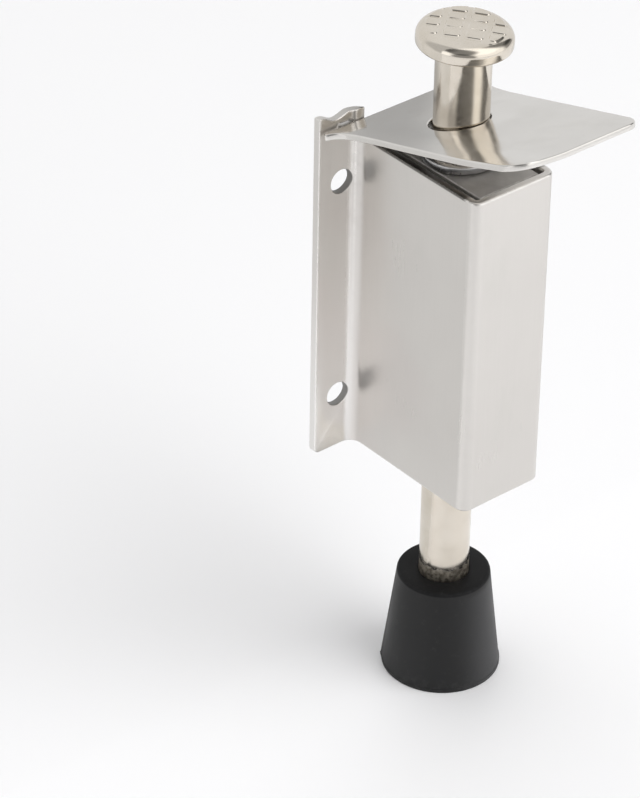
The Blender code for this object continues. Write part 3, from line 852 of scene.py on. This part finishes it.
def ear_outline():
    """What is trimmed off above an ear: high at the outer corner, a hollow, then a level crest."""
    past = 5.0 * MM
    crest_x = 14.5 * MM
    crest = EAR_TIP_Z - 0.65 * MM
    hollow_x = 18.6 * MM
    hollow = EAR_TIP_Z - 1.6 * MM
    outline = [(FLANGE_HALF_WIDTH + past, EAR_TIP_Z + 2 * past), (FLANGE_HALF_WIDTH + past, EAR_TIP_Z)]
    turns = ((FLANGE_HALF_WIDTH - 0.8 * MM, EAR_TIP_Z), (hollow_x, hollow), (crest_x, crest))
    steps = 9
    for start, end in zip(turns, turns[1:]):
        for i in range(steps):
            t = i / steps
            ease = smooth_step(t, 0.0, 1.0)
            outline.append((start[0] + (end[0] - start[0]) * t, start[1] + (end[1] - start[1]) * ease))
    return outline + [(crest_x, crest), (0.0, crest), (0.0, EAR_TIP_Z + 2 * past)]


def add_guide(node, lip_up, hole_r, material):
    """A level plate with a lip on the door side, welded to the front wall."""
    low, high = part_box(node)
    bend = 2.5 * MM
    steps = 12
    side = 1.0 if lip_up else -1.0
    level = low.z if lip_up else high.z
    tip = high.z if lip_up else low.z
    centre = (high.y - bend, level + side * bend)
    outer = [(low.y, level)] + arc(centre, bend, -90.0 * side, 0.0, steps) + [(high.y, tip)]
    inner = [(low.y, level + side * SHEET)] + arc(centre, bend - SHEET, -90.0 * side, 0.0, steps)
    inner.append((high.y - SHEET, tip))
    guide = folded_strip(node + "_fine", outer, inner, (low.x, high.x), "X")
    cutter = rod_cutter((0.0, 0.0, level), (0.0, 0.0, 1.0), hole_r, 6 * SHEET, 96)
    cut_and_break_edges(guide, [cutter], EDGE)
    finish_piece(guide, "housing", node, material)


def bore_radius(node):
    """Radius of the hole through a ring-shaped CAD node."""
    return min(v.co.xy.length for v in frame["nodes"][node].data.vertices)


def add_bush(node, sleeve_r, flange_t, material):
    """A flanged bush for the plunger, standing in a guide's hole."""
    low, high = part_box(node)
    inner = bore_radius(node)
    flange_r = high.x
    edge = 0.3 * MM
    shoulder = high.z - flange_t
    bush = ring_piece(node + "_fine", [
        (inner, high.z, edge), (flange_r, high.z, edge), (flange_r, shoulder, 0.2 * MM),
        (sleeve_r, shoulder, 0.0), (sleeve_r, low.z, edge), (inner, low.z, 0.2 * MM)])
    finish_piece(bush, "housing", node, material)


# ---------------------------------------------------------------- plunger

def add_rod(material):
    """The rod, with a thinner stud on top for the knob and a cross hole for the spring pin."""
    low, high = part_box("plunger_rod")
    rod_r = high.x
    edge = 0.45 * MM
    relief = 0.05 * MM
    profile = [(0.0, high.z)]
    profile += arc((STUD_R - edge, high.z - edge), edge, 90.0, 0.0, 5)
    profile += [(STUD_R, ROD_TOP_Z + relief), (STUD_R + relief, ROD_TOP_Z)]
    profile += arc((rod_r - edge, ROD_TOP_Z - edge), edge, 90.0, 0.0, 5)
    profile += arc((rod_r - edge, low.z + edge), edge, 0.0, -90.0, 5)
    profile.append((0.0, low.z))
    rod = turned("plunger_rod_fine", profile)
    pin_low, pin_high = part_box("spring_pin")
    centre = (0.0, 0.0, (pin_low.z + pin_high.z) / 2)
    pin_hole = rod_cutter(centre, (1.0, 0.0, 0.0), 1.55 * MM, 30.0 * MM, 32)
    cut_and_break_edges(rod, [pin_hole], 0.15 * MM, 2)
    finish_piece(rod, "plunger", "plunger_rod", material)


def pad_height(x, y):
    """Height of the raised tread pads on the knob, more worn in the middle and gone at the front."""
    u = x * math.cos(PAD_TURN) + y * math.sin(PAD_TURN)
    v = y * math.cos(PAD_TURN) - x * math.sin(PAD_TURN)
    du = abs((u / PAD_PITCH[0]) % 1.0 - 0.5) * PAD_PITCH[0]
    dv = abs((v / PAD_PITCH[1] + 0.5) % 1.0 - 0.5) * PAD_PITCH[1]
    corner = 0.5 * MM
    out = math.hypot(max(0.0, du - PAD_HALF[0] + corner), max(0.0, dv - PAD_HALF[1] + corner)) - corner
    rise = 1.0 - smooth_step(out, 0.0, PAD_SLOPE)
    from_middle = math.hypot(x, y)
    rise *= smooth_step(v, -8.0 * MM, -5.0 * MM) * (1.0 - smooth_step(from_middle, 8.6 * MM, 9.4 * MM))
    column = math.floor(u / PAD_PITCH[0])
    row = math.floor(v / PAD_PITCH[1] + 0.5)
    worn = 0.66 + 0.34 * smooth_step(from_middle, 2.0 * MM, 6.0 * MM)
    worn *= 0.90 + 0.10 * math.sin(12.9 * column + 7.3 * row)
    return PAD_RISE * rise * worn


def add_knob(material):
    """The knob: a bored shank and a domed head, whose top is a fine net that carries the tread."""
    low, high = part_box("push_knob")
    head_r = high.x
    lip = 0.8 * MM
    fillet = 0.9 * MM
    side_z = 172.1 * MM              # where the upright side turns into the shoulder
    shoulder_r = 8.3 * MM
    shoulder_rise = 2.45 * MM
    crown = 0.35 * MM
    disc_r = 9.7 * MM                # the pads are modelled inside this radius
    bore_r = 3.3 * MM
    bore_top = 116.3 * MM
    edge = 0.5 * MM

    def dome(r):
        if r < shoulder_r:
            return side_z + shoulder_rise + crown * (1.0 - (r / shoulder_r) ** 2) ** 2
        share = (r - shoulder_r) / (head_r - shoulder_r)
        return side_z + shoulder_rise * math.sqrt(max(0.0, 1.0 - share ** 2))

    start = math.acos((disc_r - shoulder_r) / (head_r - shoulder_r))
    profile = []
    for i in range(13):
        angle = start * (1.0 - i / 12)
        r = shoulder_r + (head_r - shoulder_r) * math.cos(angle)
        profile.append((r, side_z + shoulder_rise * math.sin(angle)))
    profile += arc((head_r - lip, HEAD_UNDER_Z + lip), lip, 0.0, -90.0, 8)
    profile += arc((SHANK_R + fillet, HEAD_UNDER_Z - fillet), fillet, 90.0, 180.0, 8)
    profile += [(SHANK_R, 166.0 * MM), (SHANK_R, 125.0 * MM)]      # keep the long side's shading even
    profile += arc((SHANK_R - edge, low.z + edge), edge, 0.0, -90.0, 5)
    profile += [(bore_r, low.z), (bore_r, bore_top), (0.0, bore_top + bore_r * 0.5)]

    body = turned("push_knob_fine", profile)
    spacing = 0.11 * MM
    coords = [Vector(point) for point in arc((0.0, 0.0), disc_r, 0.0, 360.0, TURN)[:-1]]
    reach = int(disc_r / spacing) + 1
    for i in range(-reach, reach + 1):
        for j in range(-reach, reach + 1):
            u = (i + 0.5 * (j % 2)) * spacing
            v = j * spacing
            if math.hypot(u, v) < disc_r - 0.2 * MM:
                x = u * math.cos(PAD_TURN) - v * math.sin(PAD_TURN)
                y = u * math.sin(PAD_TURN) + v * math.cos(PAD_TURN)
                coords.append(Vector((x, y)))
    edges = [(i, (i + 1) % TURN) for i in range(TURN)]
    result = delaunay_2d_cdt(coords, edges, [], 0, 1e-9)

    bm = bmesh.new()
    bm.from_mesh(body.data)
    verts = [bm.verts.new((p.x, p.y, dome(p.length) + pad_height(p.x, p.y))) for p in result[0]]
    for face in result[2]:
        bm.faces.new([verts[i] for i in face])
    bmesh.ops.remove_doubles(bm, verts=bm.verts, dist=0.004 * MM)
    bmesh.ops.recalc_face_normals(bm, faces=bm.faces)
    axis = direction(VIEW_AZIMUTH, 0.0)
    centre = Vector((0.0, 0.0, HEAD_UNDER_Z))
    for vert in bm.verts:
        angle = HEAD_LEAN * smooth_step(vert.co.z, HEAD_UNDER_Z - 4.0 * MM, HEAD_UNDER_Z - 0.4 * MM)
        if angle:
            vert.co = centre + Matrix.Rotation(-angle, 3, axis) @ (vert.co - centre)
    bm.to_mesh(body.data)
    bm.free()
    finish_piece(body, "plunger", "push_knob", material)


def add_foot(material):
    """The rubber foot: a socket for the rod, a lip round the sole and two grooves under it."""
    sole_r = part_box("rubber_foot")[1].x
    socket_r = 6.04 * MM
    socket_floor = 5.0 * MM
    lip = 0.9 * MM
    corners = [
        (0.0, socket_floor, 0.0), (socket_r, socket_floor, 0.0), (socket_r, FOOT_TOP_Z, 0.35 * MM),
        (FOOT_TOP_R, FOOT_TOP_Z, 0.7 * MM), (sole_r - 0.16 * MM, lip + 0.15 * MM, 0.1 * MM),
        (sole_r, lip, 0.06 * MM), (sole_r, 0.0, 0.16 * MM)]
    groove_width = 1.5 * MM
    groove_depth = 0.8 * MM
    for outer in (12.0 * MM, 8.0 * MM):
        inner = outer - groove_width
        for r, z in ((outer, 0.0), (outer, groove_depth), (inner, groove_depth), (inner, 0.0)):
            corners.append((r, z, 0.15 * MM))
    corners.append((0.0, 0.0, 0.0))
    foot = turned("rubber_foot_fine", rounded_profile(corners))

    nibs = ((229.0, 1.1 * MM, 0.45 * MM), (231.0, 3.4 * MM, 0.40 * MM), (258.0, 0.7 * MM, 0.25 * MM))

    def flash(point):
        """Height of a thin moulding line down two sides, and of nibs of torn flash near the sole."""
        angle = math.atan2(point.y, point.x) - math.radians(149.0)
        radius = point.xy.length
        for azimuth, nib_z, size in nibs:
            out = direction(azimuth, 0.0) * sole_r
            away = Vector((point.x - out.x, point.y - out.y, (point.z - nib_z) * 0.9)).length
            if radius > 12.5 * MM and away < 2.0 * size:
                return size * (1.0 - smooth_step(away, 0.0, 2.0 * size))
        near = abs((angle + math.pi / 2) % math.pi - math.pi / 2) * radius
        if radius > 9.0 * MM and 1.5 * MM < point.z < FOOT_TOP_Z - 0.8 * MM:
            return 0.07 * MM * max(0.0, 1.0 - near / (0.45 * MM))
        return 0.0

    for vert in foot.data.vertices:
        grow = flash(vert.co)
        if grow:
            flat = vert.co.xy.normalized() * grow
            vert.co.x += flat.x
            vert.co.y += flat.y
    finish_piece(foot, "plunger", "rubber_foot", material)


def add_washer(node, material):
    low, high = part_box(node)
    inner = bore_radius(node)
    edge = 0.22 * MM
    washer = ring_piece(node + "_fine", [
        (inner, high.z, edge), (high.x, high.z, edge), (high.x, low.z, edge), (inner, low.z, edge)])
    finish_piece(washer, "plunger", node, material)


def add_spring_pin(material):
    """A slotted roll pin: a nearly closed tube of thin sheet."""
    low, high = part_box("spring_pin")
    centre = (0.0, (low.z + high.z) / 2)
    radius = (high.y - low.y) / 2
    wall = 0.45 * MM
    outer = arc(centre, radius, 110.0, 430.0, 40)
    inner = arc(centre, radius - wall, 110.0, 430.0, 40)
    pin = folded_strip("spring_pin_fine", outer, inner, (low.x, high.x), "X")
    cut_and_break_edges(pin, [], 0.10 * MM, 2)
    finish_piece(pin, "plunger", "spring_pin", material)


# ---------------------------------------------------------------- springs

def add_spring(node, points, radius, material):
    """A wire spring that stands on the housing, swept along the given points."""
    spring = swept_wire(node + "_fine", points, radius)
    finish_piece(spring, None, node, material)
    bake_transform(spring)


def add_return_spring(material):
    """A coil spring with closed ends."""
    low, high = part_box("return_spring")
    radius = 0.6 * MM
    coil = (high.x - low.x) / 2 - radius
    turns = 9.0
    close = 2.2 * radius
    height = high.z - low.z - 2 * radius
    open_pitch = (height - 2.0 * close) / (turns - 2.0)
    count = round(turns * 56)
    points = []
    for i in range(count + 1):
        turn = turns * i / count
        if turn < 1.0:
            z = turn * close
        elif turn > turns - 1.0:
            z = height - (turns - turn) * close
        else:
            z = close + (turn - 1.0) * open_pitch
        angle = math.tau * turn
        points.append((coil * math.cos(angle), coil * math.sin(angle), low.z + radius + z))
    add_spring("return_spring", points, radius, material)


def add_pedal_spring(material):
    """A short conical spring whose last turn lies along the pedal's slanted underside."""
    radius = 0.45 * MM
    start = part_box("pedal_spring")[0].z + radius
    wide_r = 8.3 * MM
    narrow_r = 7.45 * MM
    gap = 0.3 * MM                   # left below the plate
    turns = 2.5
    count = round(turns * 64)
    points = []
    for i in range(count + 1):
        share = i / count
        angle = math.tau * turns * share
        coil = wide_r + (narrow_r - wide_r) * share
        x = coil * math.cos(angle)
        y = coil * math.sin(angle)
        under = plate_point(x, HOLE_AT - y, -PEDAL_T / 2 - gap - radius)
        rise = min(1.0, max(0.0, (share - 0.2) / 0.45))
        points.append((x, y, start + rise * (under.z - start)))
    add_spring("pedal_spring", points, radius, material)


# ---------------------------------------------------------------- pedal

def smooth_step(value, low, high):
    t = min(1.0, max(0.0, (value - low) / (high - low)))
    return t * t * (3.0 - 2.0 * t)


def pressed(x, along):
    """How far the plate stands off its plain bend.

    It is lower round its hole and along its long edges, and higher at its front left corner.
    """
    from_hole = math.hypot(x - HOLE_X, along - HOLE_AT) - HOLE_R
    dish = 0.28 * MM * (1.0 - smooth_step(from_hole, -0.5 * MM, 6.0 * MM))
    roll = 0.25 * MM * smooth_step(abs(x), PEDAL_HALF_WIDTH - 6.0 * MM, PEDAL_HALF_WIDTH + 2.0 * MM)
    roll *= smooth_step(along, 4.0 * MM, 14.0 * MM)
    lift = CORNER_LIFT * smooth_step(-x, 3.0 * MM, PEDAL_HALF_WIDTH)
    lift *= smooth_step(along, PEDAL_LENGTH - 22.0 * MM, PEDAL_LENGTH)
    return lift - dish - roll


def plate_point(x, along, out):
    """Point of the pedal: x, distance from its pivot line, height off its middle surface."""
    out += pressed(x, along)
    tilt = REAR_TILT
    straight = min(along, BEND_START)
    y = -straight * math.cos(tilt)
    z = straight * math.sin(tilt)
    if along > BEND_START:
        radius = (BEND_END - BEND_START) / (FRONT_TILT - REAR_TILT)
        tilt = REAR_TILT + (min(along, BEND_END) - BEND_START) / radius
        y -= radius * (math.sin(tilt) - math.sin(REAR_TILT))
        z += radius * (math.cos(REAR_TILT) - math.cos(tilt))
    if along > BEND_END:
        y -= (along - BEND_END) * math.cos(FRONT_TILT)
        z += (along - BEND_END) * math.sin(FRONT_TILT)
    return PIVOT + Vector((x, y + out * math.sin(tilt), z + out * math.cos(tilt)))


def half_outline(corner_r):
    """The outline on the +X side, from the front middle to the rear middle."""
    corner = (PEDAL_HALF_WIDTH - corner_r, PEDAL_LENGTH - corner_r)
    half = [(0.0, PEDAL_LENGTH)]
    half += arc(corner, corner_r, 90.0, 0.0, 18)
    # the side flares out towards the rear in one curve, and ends in a lug for the ear's slot
    start = Vector((PEDAL_REAR_HALF_WIDTH, PEDAL_REAR + 1.0 * MM))
    pull = Vector((PEDAL_HALF_WIDTH + 0.3 * MM, PEDAL_REAR + 2.8 * MM))
    end = Vector((PEDAL_HALF_WIDTH, FLARE_END))
    steps = 26
    for i in range(steps, -1, -1):
        t = i / steps
        half.append(tuple(start * (1 - t) ** 2 + pull * 2 * t * (1 - t) + end * t ** 2))
    half.append((PEDAL_REAR_HALF_WIDTH - 0.6 * MM, PEDAL_REAR))
    for side, along in ((1, PEDAL_REAR), (1, LUG_END), (-1, LUG_END), (-1, PEDAL_REAR)):
        half.append((LUG_X + side * LUG_WIDTH / 2, along))
    half.append((0.0, PEDAL_REAR))
    return half


def add_pedal_plate(material):
    left = half_outline(SOFT_CORNER_R)
    outline = half_outline(PEDAL_CORNER_R) + [(-x, along) for x, along in reversed(left[1:-1])]
    outline.reverse()
    hole = arc((HOLE_X, HOLE_AT), HOLE_R, 360.0, 0.0, 96)[:-1]
    pedal = plate(
        "pedal_plate_fine", outline, [hole], PEDAL_T, edge=0.32 * MM, spacing=1.1 * MM, place=plate_point)
    finish_piece(pedal, "pedal", "pedal_plate", material)


# ---------------------------------------------------------------- studio

def add_floor():
    """A wide pale floor that sinks with the foot when the plunger is let below the floor line."""

    def build(bm):
        bmesh.ops.create_grid(bm, x_segments=8, y_segments=8, size=6.0)

    floor = built("floor", build)
    floor.data.materials.append(floor_material())
    follow = floor.constraints.new("COPY_LOCATION")
    follow.target = frame["bodies"]["plunger"]
    follow.use_x = False
    follow.use_y = False
    limit = floor.constraints.new("LIMIT_LOCATION")
    limit.use_max_z = True
    limit.max_z = 0.0


def direction(azimuth, elevation):
    """Unit vector from the object towards a place round it: azimuth 0 is in front, 90 on its +X side."""
    a = math.radians(azimuth)
    e = math.radians(elevation)
    return Vector((math.sin(a) * math.cos(e), -math.cos(a) * math.cos(e), math.sin(e)))


def add_world():
    """Soft white all round, with a few large dim and bright areas for the metal to show."""
    world = bpy.data.worlds.new("studio")
    bpy.context.scene.world = world
    n = Nodes(world)
    background = n.tree.nodes["Background"]
    look = n.add("ShaderNodeTexCoord").outputs["Generated"]

    value = 1.25                     # brightness outside the areas
    areas = (                        # azimuth, elevation, inner and outer radius in degrees, brightness
        (20.0, 50.0, 20.0, 34.0, 1.22),
        (-50.0, 54.0, 22.0, 37.0, 0.20),
        (94.0, 36.0, 18.0, 36.0, 0.18),
        (-42.0, 8.0, 20.0, 34.0, 0.25),
        (82.0, 10.0, 14.0, 28.0, 0.28),
        (-112.0, 50.0, 16.0, 36.0, 0.48),
    )
    for azimuth, elevation, inner_deg, outer_deg, brightness in areas:
        towards = direction(azimuth, elevation)
        dot = n.add("ShaderNodeVectorMath", {0: look, 1: towards}, operation="DOT_PRODUCT")
        mask = n.remap(
            dot.outputs["Value"], math.cos(math.radians(outer_deg)), math.cos(math.radians(inner_deg)))
        value = n.scaled(value, mask, brightness)
    n.put(background.inputs["Color"], (1.0, 0.997, 0.99, 1.0))
    n.put(background.inputs["Strength"], value)


def add_card():
    """A white reflector in the plane of the door, dimmer where the holder would shade it.

    Only reflections show it.
    """
    half_width = 0.6
    height = 0.9

    def build(bm):
        corners = ((-half_width, 0.0), (half_width, 0.0), (half_width, height), (-half_width, height))
        bm.faces.new([bm.verts.new((x, DOOR_Y + 1.5 * MM, z)) for x, z in corners])

    card = built("door_card", build)
    n = Nodes(bpy.data.materials.new("white_card"))
    n.tree.nodes.remove(n.tree.nodes["Principled BSDF"])
    x, _, z = n.xyz()
    from_ears = n.length(x, n.minus(z, HOUSING_TOP_Z + 1.0 * MM))
    value = n.remap(from_ears, 8.0 * MM, 28.0 * MM, 0.48, 0.81)
    low_left = n.times(n.remap(x, -5.0 * MM, -35.0 * MM), n.remap(z, 150.0 * MM, 130.0 * MM))
    high_left = n.times(n.remap(x, -20.0 * MM, -35.0 * MM), n.remap(z, 170.0 * MM, 190.0 * MM))
    behind_housing = n.times(
        n.remap(n.size(x), FLANGE_HALF_WIDTH + 0.5 * MM, FLANGE_HALF_WIDTH - 0.5 * MM),
        n.remap(z, EAR_TIP_Z - 3.0 * MM, EAR_TIP_Z - 5.5 * MM),
        n.remap(z, HOUSING_BOTTOM_Z - 2.8 * MM, HOUSING_BOTTOM_Z + 0.2 * MM))
    value = n.scaled(value, low_left, 0.96)
    value = n.scaled(value, high_left, 0.68)
    value = n.scaled(value, behind_housing, 0.45)
    glow = n.add("ShaderNodeEmission", {"Strength": value}).outputs[0]
    clear = n.add("ShaderNodeBsdfTransparent").outputs[0]
    facing = n.add("ShaderNodeNewGeometry").outputs["Backfacing"]
    blend = n.add("ShaderNodeMixShader", {0: facing, 1: glow, 2: clear}).outputs[0]
    n.put(n.tree.nodes["Material Output"].inputs["Surface"], blend)
    card.data.materials.append(n.owner)
    for rays in ("camera", "diffuse", "transmission", "volume_scatter", "shadow"):
        setattr(card, "visible_" + rays, False)


def add_light(name, azimuth, elevation, distance, size, power):
    """A round lamp aimed at the middle of the holder, and kept out of its reflections."""
    light = bpy.data.lights.new(name, "AREA")
    light.shape = "DISK"
    light.size = size
    light.energy = power
    obj = link_object(name, light)
    obj.location = direction(azimuth, elevation) * distance + Vector((0.0, 0.0, 0.09))
    obj.rotation_mode = "QUATERNION"
    obj.rotation_quaternion = direction(azimuth, elevation).to_track_quat("Z", "Y")
    obj.visible_glossy = False


def add_camera():
    camera = bpy.data.cameras.new("camera")
    camera.sensor_fit = "VERTICAL"
    camera.sensor_height = 36.0
    camera.lens = 176.13
    camera.clip_start = 0.01
    camera.clip_end = 50.0
    obj = link_object("camera", camera)
    back = direction(VIEW_AZIMUTH, VIEW_ELEVATION)
    right = (-back).cross(Vector((0.0, 0.0, 1.0))).normalized()
    up = right.cross(-back)
    r = math.radians(VIEW_ROLL)
    columns = (right * math.cos(r) + up * math.sin(r), up * math.cos(r) - right * math.sin(r), back)
    turn = Matrix(columns).transposed()
    obj.matrix_world = Matrix.Translation(VIEW_AIM + back * VIEW_DISTANCE) @ turn.to_4x4()
    bpy.context.scene.camera = obj


def main():
    brushed = brushed_stainless()
    polished = polished_stainless()
    nickel = nickel_plate()
    guide_steel = mill_steel("guide_steel", (0.34, 0.325, 0.305), (0.42, 0.40, 0.38), 0.36, 0.48, 0.40)
    steel = mill_steel("spring_steel", (0.40, 0.40, 0.41), (0.55, 0.55, 0.56), 0.22, 0.36, 1.0)
    nylon = white_nylon()
    rubber = black_rubber()

    add_body_channel(brushed)
    add_guide("upper_guide_plate", False, 7.8 * MM, guide_steel)
    add_guide("lower_guide_plate", True, 7.9 * MM, guide_steel)
    add_bush("upper_guide_bush", 7.5 * MM, 1.7 * MM, steel)
    add_bush("lower_guide_bush", 7.6 * MM, 1.2 * MM, nylon)
    add_rod(nickel)
    add_knob(nickel)
    add_foot(rubber)
    add_washer("foot_washer", steel)
    add_washer("spring_seat_washer", steel)
    add_spring_pin(steel)
    add_return_spring(steel)
    add_pedal_plate(polished)
    add_pedal_spring(steel)

    add_floor()
    add_world()
    add_card()
    add_light("key", azimuth=24.0, elevation=50.0, distance=1.5, size=1.4, power=8.5)
    add_camera()
    bpy.context.scene.view_settings.view_transform = "Standard"


main()
